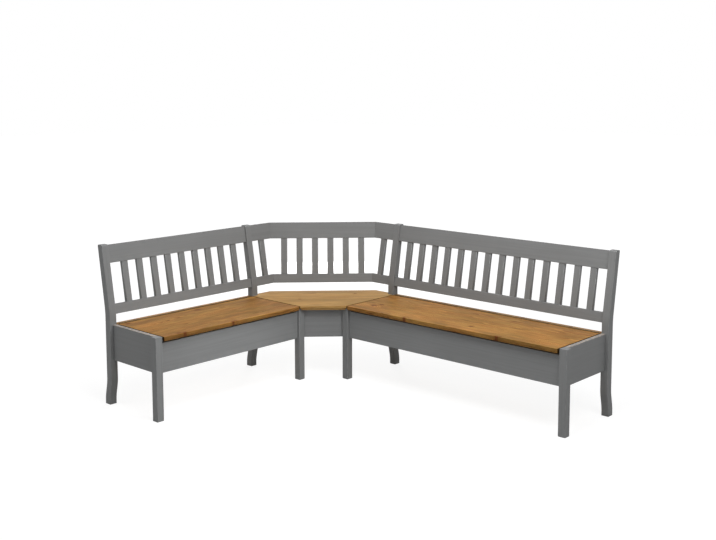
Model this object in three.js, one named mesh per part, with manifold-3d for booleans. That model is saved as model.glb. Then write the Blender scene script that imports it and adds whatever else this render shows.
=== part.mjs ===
// Corner storage bench: two slatted chest benches of unequal length, joined by a fixed corner seat.
// Millimetres, +Z up. The wall corner is at plan (0, 0) until the whole is centred at the end.
// A bench's own frame has x along it from its left end, and y = 0 at its back with the front towards -y.

import * as THREE from 'three';
import { mergeVertices } from 'three/addons/utils/BufferGeometryUtils.js';
import Module from 'manifold-3d';

const wasm = await Module();
wasm.setup();

// Plan
const leftBenchLength = 1120;
const rightBenchLength = 1600;
const benchDepth = 481;
const cornerFrontRun = 167;
const wingRun = 151;

// Seat
const seatTop = 470;
const seatThickness = 19;
const seatOverhang = 8;
const seatNosing = 6;
const seatRearInset = 5;
const seatSeam = 2.5;
const cornerSeatLap = 1;
const cornerSeatTuck = 17;
const cornerSeatArris = 2;

// Chest boards
const panelBottom = 264;
const endPanelThickness = 25;
const frontPanelThickness = 20;
const frontPanelSetback = 16;
const rearPanelThickness = 18;
const ledgeWidth = 12;
const ledgeHeight = 12;
const floorThickness = 8;
const stripWidth = 43;

// Corner boards
const apronThickness = 18;
const apronSetback = 12;
const bearerThickness = 22;
const bearerHeight = 60;
const bearerSetback = 6;

// Front legs
const legSide = 44;
const legArris = 3;
const legEndChamfer = 2;

// Rear posts
const postWidth = 44;
const postDepth = 46;
const postTopDepth = 40;
const postTop = 927;
const postTopRound = 8;
const postArris = 2.5;
const bendHeight = 545;
const bendBlend = 34;
const rake = THREE.MathUtils.degToRad(9.5);
const footKick = 20;
const footKickHeight = 155;
const footStraight = 24;

// Backrest
const railThickness = 26;
const railSetback = 10;
const topRailTop = 923.5;
const topRailWidth = 106;
const bottomRailBottom = 529;
const bottomRailWidth = 58;
const slatWidth = 38;
const slatThickness = 20;
const leftSlatCount = 9;
const leftEndGap = 87;
const rightSlatCount = 14;
const rightEndGap = 70.75;
const centreSlatCount = 6;
const centreEndGap = 50.7;
const slatTenon = 15;
const wingSlatInset = 94;

// Lid hinges
const leafThickness = 1.2;
const leafHeight = 16;
const leafGap = 0.4;
const leafSeat = 0.2;
const leafEndInset = 14;
const knuckleTabDepth = 8;
const knuckleRun = 60;
const barrelRadius = 3;
const barrelSides = 12;
const pinRadius = 1.4;
const pinPlay = 0.3;
const hingeRunningGap = 0.3;

// Clearances, and the overrun of a cut
const seamGap = 0.3;
const lidRestGap = 0.5;
const cutOverrun = 5;

// Straight steps in each rounding and each curve of a post
const edgeSteps = 3;
const postCurveSteps = 6;

// How far along its foot a post's kick curve keeps straight
const kickEaseShare = 0.45;

const quarterTurn = Math.PI / 2;
const eighthTurn = Math.PI / 4;
const mitreSlope = Math.tan(eighthTurn / 2);
const rakeSlope = Math.tan(rake);

const cornerRun = benchDepth + cornerFrontRun;
const seatUnder = seatTop - seatThickness;
const boardTop = seatUnder - seamGap;
const railFront = postDepth - railSetback;
const stripFront = seatRearInset + stripWidth;
const hingeSeamWidth = 2 * (leafThickness + leafSeat) + leafGap;
const lidRear = stripFront + hingeSeamWidth;
const lidFront = benchDepth + seatOverhang;
const hingeY = -(stripFront + lidRear) / 2;
const hingeZ = seatTop + barrelRadius + hingeRunningGap;
const kinkRun = cornerRun - wingRun;
const cornerCut = (kinkRun + railFront) / Math.SQRT2;
const topRake = rakeSlope * (postTop - bendHeight);

const paint = () => new THREE.MeshStandardMaterial({ color: 0x7b7d7e, roughness: 0.55, metalness: 0 });
const pine = () => new THREE.MeshStandardMaterial({ color: 0xb07f48, roughness: 0.42, metalness: 0 });
const plywood = () => new THREE.MeshStandardMaterial({ color: 0xc9ab7c, roughness: 0.7, metalness: 0 });
const brass = () => new THREE.MeshStandardMaterial({ color: 0x8f7440, roughness: 0.35, metalness: 1 });

const at = (x, y, z) => new THREE.Vector3(x, y, z);

function named(name, geometry, material) {
  const mesh = new THREE.Mesh(geometry, material);
  mesh.name = name;
  return mesh;
}

// A box between its lowest and highest corners.
function boxBetween(low, high) {
  const size = new THREE.Vector3().subVectors(high, low);
  const centre = new THREE.Vector3().addVectors(low, high).multiplyScalar(1 / 2);
  return new THREE.BoxGeometry(size.x, size.y, size.z).translate(centre.x, centre.y, centre.z);
}

// A closed outline through [a, b] points; a point's third value is the run of its rounding.
function outline(points) {
  const shape = new THREE.Shape();
  points.forEach(([a, b, round = 0], i) => {
    const corner = new THREE.Vector2(a, b);
    const [a0, b0] = points[(i + points.length - 1) % points.length];
    const [a1, b1] = points[(i + 1) % points.length];
    const before = new THREE.Vector2(a0 - a, b0 - b).setLength(round).add(corner);
    const after = new THREE.Vector2(a1 - a, b1 - b).setLength(round).add(corner);
    if (i === 0) {
      shape.moveTo(before.x, before.y);
    } else {
      shape.lineTo(before.x, before.y);
    }
    if (round > 0) {
      shape.quadraticCurveTo(a, b, after.x, after.y);
    }
  });
  shape.closePath();
  return shape;
}

// An outline given some depth, its two end faces eased by an arris that keeps the size.
function extruded(shape, depth, arris = 0, curveSegments = edgeSteps) {
  const geometry = new THREE.ExtrudeGeometry(shape, {
    depth: depth - 2 * arris,
    bevelEnabled: arris > 0,
    bevelThickness: arris,
    bevelSize: arris,
    bevelOffset: -arris,
    bevelSegments: 1,
    curveSegments,
    steps: 1,
  });
  return geometry.translate(0, 0, arris);
}

// A [y, z] outline carried along x.
function alongX(shape, fromX, toX, arris = 0, curveSegments = edgeSteps) {
  const geometry = extruded(shape, toX - fromX, arris, curveSegments);
  geometry.applyMatrix4(new THREE.Matrix4().makeBasis(at(0, 1, 0), at(0, 0, 1), at(1, 0, 0)));
  return geometry.translate(fromX, 0, 0);
}

function solidOf(geometry) {
  const bare = geometry.clone();
  bare.deleteAttribute('normal');
  bare.deleteAttribute('uv');
  const merged = mergeVertices(bare);
  const vertProperties = new Float32Array(merged.attributes.position.array);
  const triVerts = new Uint32Array(merged.index.array);
  return new wasm.Manifold(new wasm.Mesh({ numProp: 3, vertProperties, triVerts }));
}

function geometryOf(solid) {
  const mesh = solid.getMesh();
  const geometry = new THREE.BufferGeometry();
  geometry.setAttribute('position', new THREE.BufferAttribute(mesh.vertProperties, 3));
  geometry.setIndex(new THREE.BufferAttribute(mesh.triVerts, 1));
  geometry.computeVertexNormals();
  return geometry;
}

const joinedSolid = (geometries) => geometries.map(solidOf).reduce((whole, part) => whole.add(part));

// Front leg: square, its long edges eased and its ends chamfered.
function frontLeg(name, fromX, top) {
  const toX = fromX + legSide;
  const rearY = legSide - benchDepth;
  const plan = outline([
    [fromX, -benchDepth, legArris],
    [toX, -benchDepth, legArris],
    [toX, rearY, legArris],
    [fromX, rearY, legArris],
  ]);
  return named(name, extruded(plan, top, legEndChamfer), paint());
}

// Rear post: upright past the seat, raked above it, kicked back at the foot.
function postProfile() {
  const topLoss = postDepth - postTopDepth;
  const blendTop = bendHeight + bendBlend;
  const blendLow = bendHeight - bendBlend;
  const blendRake = rakeSlope * bendBlend;
  const blendLoss = topLoss * (bendBlend / (postTop - bendHeight));
  const ease = footStraight + (footKickHeight - footStraight) * kickEaseShare;
  const rearTop = topRake - topLoss;
  const frontTop = topRake - postDepth;
  const roundDrop = postTopRound;
  const roundShift = rakeSlope * postTopRound;
  const profile = new THREE.Shape();
  profile.moveTo(footKick, 0);
  profile.lineTo(footKick, footStraight);
  profile.bezierCurveTo(footKick, ease, 0, ease, 0, footKickHeight);
  profile.lineTo(0, blendLow);
  profile.quadraticCurveTo(0, bendHeight, blendRake - blendLoss, blendTop);
  profile.lineTo(rearTop - roundShift, postTop - roundDrop);
  profile.quadraticCurveTo(rearTop, postTop, rearTop - roundDrop, postTop);
  profile.lineTo(frontTop + roundDrop, postTop);
  profile.quadraticCurveTo(frontTop, postTop, frontTop - roundShift, postTop - roundDrop);
  profile.lineTo(blendRake - postDepth, blendTop);
  profile.quadraticCurveTo(-postDepth, bendHeight, -postDepth, blendLow);
  profile.lineTo(-postDepth, footKickHeight);
  profile.bezierCurveTo(-postDepth, ease, footKick - postDepth, ease, footKick - postDepth, footStraight);
  profile.lineTo(footKick - postDepth, 0);
  profile.closePath();
  return profile;
}

function rearPost(name, fromX) {
  const geometry = alongX(postProfile(), fromX, fromX + postWidth, postArris, postCurveSteps);
  return named(name, geometry, paint());
}

function endPanel(name, fromX, top) {
  const low = at(fromX, legSide - benchDepth + seamGap, panelBottom);
  const high = at(fromX + endPanelThickness, -postDepth - seamGap, top);
  return named(name, boxBetween(low, high), paint());
}

// An upright board with a ledge at its foot, inside the chest, for the floor to lie on.
function ledgedPanel(name, fromX, toX, outerY, innerY, top) {
  const ledgeY = innerY + Math.sign(innerY - outerY) * ledgeWidth;
  const ledgeTop = panelBottom + ledgeHeight;
  const section = outline([
    [outerY, panelBottom],
    [ledgeY, panelBottom],
    [ledgeY, ledgeTop],
    [innerY, ledgeTop],
    [innerY, top],
    [outerY, top],
  ]);
  return named(name, alongX(section, fromX, toX), paint());
}

function floorBoard(name, fromX, toX) {
  const bottom = panelBottom + ledgeHeight + seamGap;
  const frontY = frontPanelSetback + frontPanelThickness - benchDepth + seamGap;
  const rearY = -seatRearInset - rearPanelThickness - seamGap;
  const low = at(fromX, frontY, bottom);
  const high = at(toX, rearY, bottom + floorThickness);
  return named(name, boxBetween(low, high), plywood());
}

// Hinged seat board, its front edge rounded over.
function seatLid(name, fromX, toX) {
  const section = outline([
    [-lidFront, seatUnder, seatNosing],
    [-lidRear, seatUnder],
    [-lidRear, seatTop],
    [-lidFront, seatTop, seatNosing],
  ]);
  return named(name, alongX(section, fromX, toX), pine());
}

// Fixed strip behind the lid, between the posts.
function rearStrip(name, fromX, toX) {
  const low = at(fromX, -stripFront, seatUnder);
  const high = at(toX, -seatRearInset, seatTop);
  return named(name, boxBetween(low, high), pine());
}

function rodAlongX(radius, fromX, toX) {
  const geometry = new THREE.CylinderGeometry(radius, radius, toX - fromX, barrelSides);
  geometry.rotateZ(quarterTurn);
  return geometry.translate((fromX + toX) / 2, hingeY, hingeZ);
}

// One leaf of the long hinge: a plate in the seam and every other knuckle of the barrel above it.
// The fixed leaf is on the wall side and holds the pin; the lid's leaf turns on it.
function hingeLeaf(name, fromX, toX, isFixed) {
  const nearY = hingeY + (isFixed ? leafGap / 2 : -leafGap / 2);
  const farY = nearY + (isFixed ? leafThickness : -leafThickness);
  const lowY = Math.min(nearY, farY);
  const highY = Math.max(nearY, farY);
  const count = 2 * Math.round((toX - fromX) / knuckleRun / 2) + 1;
  const run = (toX - fromX) / count;
  const pieces = [boxBetween(at(fromX, lowY, seatTop - leafHeight), at(toX, highY, seatTop))];
  for (let i = isFixed ? 0 : 1; i < count; i += 2) {
    const start = fromX + i * run + hingeRunningGap / 2;
    const end = fromX + (i + 1) * run - hingeRunningGap / 2;
    pieces.push(boxBetween(at(start, lowY, seatTop - knuckleTabDepth), at(end, highY, hingeZ - pinRadius)));
    pieces.push(rodAlongX(barrelRadius, start, end));
  }
  if (isFixed) {
    pieces.push(rodAlongX(pinRadius, fromX + seamGap, toX - seamGap));
    return named(name, geometryOf(joinedSolid(pieces)), brass());
  }
  const bore = solidOf(rodAlongX(pinRadius + pinPlay, fromX - cutOverrun, toX + cutOverrun));
  return named(name, geometryOf(joinedSolid(pieces).subtract(bore)), brass());
}

// The raked plane of a back: y = 0 on the rails' front face, z up the slope from the bend.
function rakedFrame(frontDistance) {
  const frame = new THREE.Group();
  frame.position.set(0, -frontDistance, bendHeight);
  frame.rotation.x = -rake;
  return frame;
}

const upSlope = (height) => (height - bendHeight) / Math.cos(rake);

function topRailSpan() {
  const high = upSlope(topRailTop);
  return { low: high - topRailWidth, high };
}

function bottomRailSpan() {
  const low = upSlope(bottomRailBottom);
  return { low, high: low + bottomRailWidth };
}

// A rail in the raked plane. Each end is cut by an upright plane: leftX and rightX are its places on
// the line where the rail's front face crosses the bend, and the slopes turn it in plan.
function railGeometry(span, leftX, rightX, leftSlope = 0, rightSlope = 0) {
  const geometry = boxBetween(at(0, 0, span.low), at(1, railThickness, span.high));
  const corners = geometry.attributes.position;
  for (let i = 0; i < corners.count; i += 1) {
    const y = corners.getY(i);
    const z = corners.getZ(i);
    const depth = y * Math.cos(rake) + z * Math.sin(rake);
    const x = corners.getX(i) > 0 ? rightX + rightSlope * depth : leftX + leftSlope * depth;
    corners.setX(i, x);
  }
  geometry.computeVertexNormals();
  return geometry;
}

function slatGeometry(centreX, low, high) {
  const recess = (railThickness - slatThickness) / 2;
  const lowCorner = at(centreX - slatWidth / 2, recess, low);
  const highCorner = at(centreX + slatWidth / 2, recess + slatThickness, high);
  return boxBetween(lowCorner, highCorner);
}

// Slat centres, evenly spaced about the middle of their bay with a wider gap at each end.
function slatCentres(count, endGap, bay, middle) {
  const pitch = (bay - slatWidth - 2 * endGap) / (count - 1);
  return Array.from({ length: count }, (_, i) => middle + (i - (count - 1) / 2) * pitch);
}

function benchBack(side, length, slatCount, endGap) {
  const frame = rakedFrame(railFront);
  const fromX = postWidth + seamGap;
  const toX = length - postWidth - seamGap;
  const low = bottomRailSpan().high + seamGap;
  const high = topRailSpan().low - seamGap;
  frame.add(named(`${side}_top_rail`, railGeometry(topRailSpan(), fromX, toX), paint()));
  frame.add(named(`${side}_bottom_rail`, railGeometry(bottomRailSpan(), fromX, toX), paint()));
  slatCentres(slatCount, endGap, length - 2 * postWidth, length / 2).forEach((centreX, i) => {
    frame.add(named(`${side}_slat_${i + 1}`, slatGeometry(centreX, low, high), paint()));
  });
  return frame;
}

// A whole bench. Its inner end, at the corner, has lower legs and panels for the corner seat to lie on.
function bench(side, length, slatCount, endGap, innerOnLeft) {
  const group = new THREE.Group();
  const [leftEnd, rightEnd] = innerOnLeft ? ['inner', 'outer'] : ['outer', 'inner'];
  const topAt = (end) => (end === 'inner' ? boardTop : seatTop);
  const fromX = legSide + seamGap;
  const toX = length - legSide - seamGap;
  const lidInset = legSide + seatSeam;
  const innerLidInset = lidInset - cornerSeatLap;
  const lidFromX = innerOnLeft ? innerLidInset : lidInset;
  const lidToX = length - (innerOnLeft ? lidInset : innerLidInset);
  const panelFront = frontPanelSetback - benchDepth;
  const panelRear = -seatRearInset;
  group.add(rearPost(`${side}_rear_post_${leftEnd}`, 0));
  group.add(rearPost(`${side}_rear_post_${rightEnd}`, length - postWidth));
  group.add(frontLeg(`${side}_front_leg_${leftEnd}`, 0, topAt(leftEnd)));
  group.add(frontLeg(`${side}_front_leg_${rightEnd}`, length - legSide, topAt(rightEnd)));
  group.add(endPanel(`${side}_end_panel_${leftEnd}`, legSide - endPanelThickness, topAt(leftEnd)));
  group.add(endPanel(`${side}_end_panel_${rightEnd}`, length - legSide, topAt(rightEnd)));
  const frontInner = panelFront + frontPanelThickness;
  group.add(ledgedPanel(`${side}_front_panel`, fromX, toX, panelFront, frontInner, seatUnder - lidRestGap));
  group.add(ledgedPanel(`${side}_rear_panel`, fromX, toX, panelRear, panelRear - rearPanelThickness, boardTop));
  group.add(floorBoard(`${side}_floor_board`, fromX, toX));
  group.add(rearStrip(`${side}_rear_strip`, fromX, toX));
  group.add(seatLid(`${side}_seat_lid`, lidFromX, lidToX));
  group.add(hingeLeaf(`${side}_hinge_fixed_leaf`, fromX + leafEndInset, toX - leafEndInset, true));
  group.add(hingeLeaf(`${side}_hinge_lid_leaf`, fromX + leafEndInset, toX - leafEndInset, false));
  group.add(benchBack(side, length, slatCount, endGap));
  return group;
}

// A short stretch of back in line with a bench, from its inner post (x = 0) to the mitre with the centre.
// Its two rails and one slat are glued up as one piece.
function wing(name, towards) {
  const frame = rakedFrame(railFront);
  const postX = towards * seamGap;
  const mitreX = towards * (cornerRun - kinkRun - seamGap);
  const slope = towards * mitreSlope;
  const rail = (span) => (towards > 0
    ? railGeometry(span, postX, mitreX, 0, slope)
    : railGeometry(span, mitreX, postX, slope, 0));
  const low = bottomRailSpan().high - slatTenon;
  const high = topRailSpan().low + slatTenon;
  const slat = slatGeometry(towards * wingSlatInset, low, high);
  const pieces = [rail(topRailSpan()), rail(bottomRailSpan()), slat];
  frame.add(named(name, geometryOf(joinedSolid(pieces)), paint()));
  return frame;
}

// The back's stretch across the corner: a top rail over a comb of slats tenoned into the bottom rail.
function cornerCentreBack() {
  const frame = rakedFrame(cornerCut);
  const half = (kinkRun - railFront) / Math.SQRT2;
  const rail = (span) => railGeometry(span, -half, half, -mitreSlope, mitreSlope);
  const low = bottomRailSpan().high - slatTenon;
  const high = topRailSpan().low - seamGap;
  const slats = slatCentres(centreSlatCount, centreEndGap, 2 * half, 0).map((centreX) => slatGeometry(centreX, low, high));
  frame.add(named('corner_top_rail', rail(topRailSpan()), paint()));
  frame.add(named('corner_slat_comb', geometryOf(joinedSolid([rail(bottomRailSpan()), ...slats])), paint()));
  return frame;
}

// A board across the corner, its ends cut to the inner side faces of the two benches' legs or posts.
// frontDistance is how far its front face is from the wall corner.
function crossBoard(name, frontDistance, thickness, low, high) {
  const halfAt = (distance) => Math.SQRT2 * (cornerRun - seamGap) - distance;
  const rearDistance = frontDistance - thickness;
  const plan = outline([
    [-halfAt(frontDistance), -frontDistance],
    [halfAt(frontDistance), -frontDistance],
    [halfAt(rearDistance), -rearDistance],
    [-halfAt(rearDistance), -rearDistance],
  ]);
  return named(name, extruded(plan, high - low).translate(0, 0, low), paint());
}

// Corner seat: one board with six sides, notched round the inner rear posts.
function cornerSeat() {
  const side = cornerRun + legSide - cornerSeatLap;
  const notch = cornerRun - seamGap;
  const notchDepth = postDepth + seamGap;
  const rearRun = Math.SQRT2 * (cornerCut - cornerSeatTuck) - seatRearInset;
  const rightHalf = [
    [rearRun, seatRearInset],
    [notch, seatRearInset],
    [notch, notchDepth],
    [side, notchDepth],
    [side, lidFront],
  ];
  const plan = outline([
    ...rightHalf.map(([across, out]) => [across, -out]).reverse(),
    ...rightHalf.map(([across, out]) => [out, -across]),
  ]);
  const geometry = extruded(plan, seatThickness, cornerSeatArris);
  return named('corner_seat', geometry.translate(0, 0, seatUnder), pine());
}

function cornerGroup() {
  const group = new THREE.Group();
  const across = new THREE.Group();
  const rightWing = new THREE.Group();
  const leftWing = new THREE.Group();
  const legCorner = (cornerRun + benchDepth) / Math.SQRT2;
  const postCorner = (cornerRun + postDepth) / Math.SQRT2;
  const bearerTop = boardTop;
  across.rotation.z = eighthTurn;
  across.add(cornerCentreBack());
  across.add(crossBoard('corner_apron', legCorner - apronSetback, apronThickness, panelBottom, boardTop));
  const bearerFront = postCorner - bearerSetback;
  across.add(crossBoard('corner_bearer', bearerFront, bearerThickness, bearerTop - bearerHeight, bearerTop));
  rightWing.position.x = cornerRun;
  rightWing.add(wing('corner_right_wing', -1));
  leftWing.position.y = -cornerRun;
  leftWing.rotation.z = quarterTurn;
  leftWing.add(wing('corner_left_wing', 1));
  group.add(cornerSeat(), across, rightWing, leftWing);
  return group;
}

const rightBench = bench('right', rightBenchLength, rightSlatCount, rightEndGap, true);
rightBench.position.x = cornerRun;

const leftBench = bench('left', leftBenchLength, leftSlatCount, leftEndGap, false);
leftBench.position.y = -cornerRun - leftBenchLength;
leftBench.rotation.z = quarterTurn;

const cornerBench = new THREE.Group();
cornerBench.add(leftBench, cornerGroup(), rightBench);

// The whole stands on z = 0 with its plan centred on the origin.
const extent = new THREE.Box3().setFromObject(cornerBench);
const middle = extent.getCenter(new THREE.Vector3());
cornerBench.position.set(-middle.x, -middle.y, 0);

export default cornerBench;
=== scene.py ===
"""Corner storage bench: the finished woodwork, its small fittings, the studio and the camera.

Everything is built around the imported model, in metres. The corner of the two benches' backs, where the
walls of a room would meet, is the point that the sizes below are measured from.
"""

import functools
import logging
import math
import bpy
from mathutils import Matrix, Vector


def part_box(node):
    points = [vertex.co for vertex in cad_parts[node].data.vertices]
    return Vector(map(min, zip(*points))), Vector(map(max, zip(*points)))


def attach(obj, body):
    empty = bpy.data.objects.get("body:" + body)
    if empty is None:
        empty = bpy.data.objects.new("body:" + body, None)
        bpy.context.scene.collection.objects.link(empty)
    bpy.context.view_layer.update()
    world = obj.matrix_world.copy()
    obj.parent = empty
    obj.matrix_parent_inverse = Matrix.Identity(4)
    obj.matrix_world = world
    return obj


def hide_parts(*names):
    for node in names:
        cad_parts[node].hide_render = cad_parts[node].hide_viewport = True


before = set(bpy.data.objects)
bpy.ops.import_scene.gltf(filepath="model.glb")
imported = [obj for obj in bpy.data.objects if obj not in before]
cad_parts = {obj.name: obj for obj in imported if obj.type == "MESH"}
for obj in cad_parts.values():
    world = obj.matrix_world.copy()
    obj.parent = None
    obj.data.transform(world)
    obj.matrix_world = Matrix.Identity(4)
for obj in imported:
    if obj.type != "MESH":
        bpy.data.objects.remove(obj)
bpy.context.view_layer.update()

import zlib
from dataclasses import dataclass
from enum import Enum
from typing import Iterable, Optional, Sequence, Union

import bmesh
import bpy
from mathutils import Matrix, Vector

log = logging.getLogger("corner_bench")

Material = bpy.types.Material
BMesh = bmesh.types.BMesh
Edge = bmesh.types.BMEdge
Socket = bpy.types.NodeSocket
Value = Union[Socket, float]
Colour = tuple[float, float, float]
Place = tuple[float, float, float]

# The part of a value that is read, from and to, and what that is carried to.
Range = tuple[float, float, float, float]

# Places from 0 to 1 with the level at each.
Stops = Sequence[tuple[float, float]]

# The body of all that is fixed, and the attributes that the finishes read.
BENCH = "bench"
GRAIN_LAYER = "stock"
ARRIS_LAYER = "arris"

# Points closer than the first are one point, edges shorter than the second are dissolved. Both in metres.
WELD = 1e-6
SLIVER = 2e-5

# Faces that meet at less than the first are one flat face, at more than the second they make a corner.
FLAT_ANGLE = math.radians(1)
CORNER_ANGLE = math.radians(30)

# How far a seat board's faces lean: along x on end grain, forward on the front edge, up on its upper arris
# and down on its lower one.
END_LEAN = 0.5
FRONT_LEAN = 0.15
UPPER_LEAN = 0.25
LOWER_LEAN = 0.2

# Names are spread over a yard of this many steps of timber each way.
YARD = (997, 89, 13)
YARD_STEP = 0.37


def srgb(red: int, green: int, blue: int) -> Colour:
    """Turns a colour written as 0 to 255 per channel into linear light.

    Args:
        red: from 0 to 255.
        green: from 0 to 255.
        blue: from 0 to 255.

    Returns:
        The linear values that shaders take.
    """

    def linear(channel: int) -> float:
        """One channel, linear."""
        share = channel / 255
        return share / 12.92 if share <= 0.04045 else ((share + 0.055) / 1.055) ** 2.4

    return (linear(red), linear(green), linear(blue))


class Grain(Enum):
    """Which way the grain runs in a piece's own frame: the order that its axes are read in."""

    ALONG = (0, 1, 2)
    ACROSS = (1, 0, 2)
    UP = (2, 0, 1)


class Side(Enum):
    """The two benches, as seen from the front."""

    LEFT = "left"
    RIGHT = "right"


@dataclass(frozen=True)
class Streaks:
    """Noise drawn out along the grain: its turns to the metre along and across it, and its detail."""

    along: float
    across: float
    detail: float = 2.0


class Graph:
    """The nodes of a material or of the world, written as sums of sockets."""

    def __init__(self, name: str, is_world: bool = False) -> None:
        """Starts it empty.

        Args:
            name: the material's or the world's name.
            is_world: whether it is the world.
        """
        self.owner = bpy.data.worlds.new(name) if is_world else bpy.data.materials.new(name)
        self.owner.use_nodes = True
        self.tree = self.owner.node_tree
        self.tree.nodes.clear()
        self.output = self.node("OutputWorld" if is_world else "OutputMaterial").inputs[0]

    def feed(self, socket: Socket, value: object) -> None:
        """Links an input to another node's output, or sets its value.

        Args:
            socket: the input.
            value: the output, a number, a vector or a colour.
        """
        if isinstance(value, Socket):
            self.tree.links.new(value, socket)
        elif isinstance(value, tuple) and socket.type == "RGBA":
            socket.default_value = (*value, 1.0)
        else:
            socket.default_value = value

    def node(self, kind: str, *values: object, **named: object) -> bpy.types.Node:
        """Adds a node.

        Args:
            kind: what kind of shader node.
            values: what its first inputs are fed.
            named: settings, and other inputs with underscores for spaces.

        Returns:
            The node.
        """
        node = self.tree.nodes.new(f"ShaderNode{kind}")
        for name, value in named.items():
            socket = node.inputs.get(name.replace("_", " "))
            if socket is None:
                setattr(node, name, value)
            else:
                self.feed(socket, value)
        for socket, value in zip(node.inputs, values):
            self.feed(socket, value)
        return node

    def math(self, operation: str, *values: Value) -> Socket:
        """The result of an operation on one to three values."""
        return self.node("Math", *values, operation=operation).outputs[0]

    def times(self, *values: Value) -> Socket:
        """The product of two or more values."""
        return functools.reduce(functools.partial(self.math, "MULTIPLY"), values)

    def vector(self, operation: str, *values: object) -> Socket:
        """The length, or the vector, that an operation on vectors gives."""
        node = self.node("VectorMath", *values, operation=operation)
        return node.outputs["Value" if operation == "LENGTH" else "Vector"]

    def stock(self) -> Socket:
        """The place in the piece's own timber: x along the grain, y across it, z through it."""
        return self.node("Attribute", attribute_name=GRAIN_LAYER).outputs["Vector"]

    def arris(self) -> Socket:
        """1 on eased edges, 0 elsewhere; the edges of seat boards have marks of their own."""
        return self.node("Attribute", attribute_name=ARRIS_LAYER).outputs["Fac"]

    def place(self) -> Socket:
        """The place in the object's own frame."""
        return self.node("TexCoord").outputs["Object"]

    def split(self, vector: Socket) -> tuple[Socket, ...]:
        """A vector's x, y and z."""
        return tuple(self.node("SeparateXYZ", vector).outputs)

    def join(self, x: Value, y: Value, z: Value) -> Socket:
        """A vector of three values."""
        return self.node("CombineXYZ", x, y, z).outputs[0]

    def noise(self, vector: object, scale: float, detail: float = 3.0) -> Socket:
        """Noise from 0 to 1 about 0.5, with its scale in turns to the metre."""
        return self.node("TexNoise", vector, Scale=scale, Detail=detail).outputs["Fac"]

    def streaks(self, grain: Streaks, shift: Optional[Socket] = None) -> Socket:
        """Noise drawn out along the grain.

        Args:
            grain: how far it is drawn out.
            shift: moves it, so that each stave has streaks of its own.

        Returns:
            Noise from 0 to 1 about 0.5.
        """
        at = self.vector("MULTIPLY", self.stock(), (grain.along, grain.across, grain.across))
        if shift is not None:
            at = self.vector("ADD", at, shift)
        return self.noise(at, 1.0, grain.detail)

    def random(self, value: Socket) -> tuple[Socket, ...]:
        """Three values from 0 to 1 that hold for one whole number."""
        node = self.node("TexWhiteNoise", noise_dimensions="1D", W=value)
        return tuple(self.node("SeparateColor", node.outputs["Color"]).outputs[:3])

    def remap(self, value: Value, carried: Range) -> Socket:
        """A value's range carried smoothly to another range, clamped."""
        return self.node("MapRange", value, *carried, interpolation_type="SMOOTHSTEP").outputs[0]

    def ramp(self, value: Value, stops: Stops) -> Socket:
        """Reads a grey ramp.

        Args:
            value: where it is read, from 0 to 1.
            stops: its levels.

        Returns:
            The level there.
        """
        node = self.node("ValToRGB", value)
        elements = node.color_ramp.elements
        while len(elements) < len(stops):
            elements.new(0.5)
        for element, (place, level) in zip(elements, stops):
            element.position = place
            element.color = (level, level, level, 1.0)
        return node.outputs[0]

    def mix(self, share: Value, first: object, second: object) -> Socket:
        """Mixes two colours.

        Args:
            share: how much of the second.
            first: a colour.
            second: another.

        Returns:
            The mixed colour.
        """
        node = self.node("Mix", share, data_type="RGBA")
        self.feed(node.inputs[6], first)
        self.feed(node.inputs[7], second)
        return node.outputs[2]

    def tint(self, colour: object, level: Value) -> Socket:
        """A colour made lighter or darker by a factor."""
        return self.vector("MULTIPLY", colour, self.join(level, level, level))

    def bump(self, height: Socket, relief: float) -> Socket:
        """The normal of a relief that is so many metres high."""
        return self.node("Bump", Strength=1.0, Distance=relief, Height=height).outputs[0]

    def seen(self) -> Socket:
        """Tells what the camera sees, straight, mirrored or through glass, from light that is thrown.

        Returns:
            1 for the former, 0 for the latter.
        """
        rays = self.node("LightPath").outputs
        seen = self.math("MAXIMUM", rays["Is Camera Ray"], rays["Is Glossy Ray"])
        return self.math("MAXIMUM", seen, rays["Is Transmission Ray"])

    def surface(self, colour: object, roughness: Value, **sockets: object) -> Material:
        """Closes the material with one surface shader.

        Args:
            colour: base colour, as a socket or linear values.
            roughness: a socket or a number.
            sockets: other inputs of the shader, with underscores for spaces.

        Returns:
            The finished material.
        """
        shader = self.node("BsdfPrincipled", Base_Color=colour, Roughness=roughness, **sockets)
        self.feed(self.output, shader.outputs[0])
        return self.owner


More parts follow.
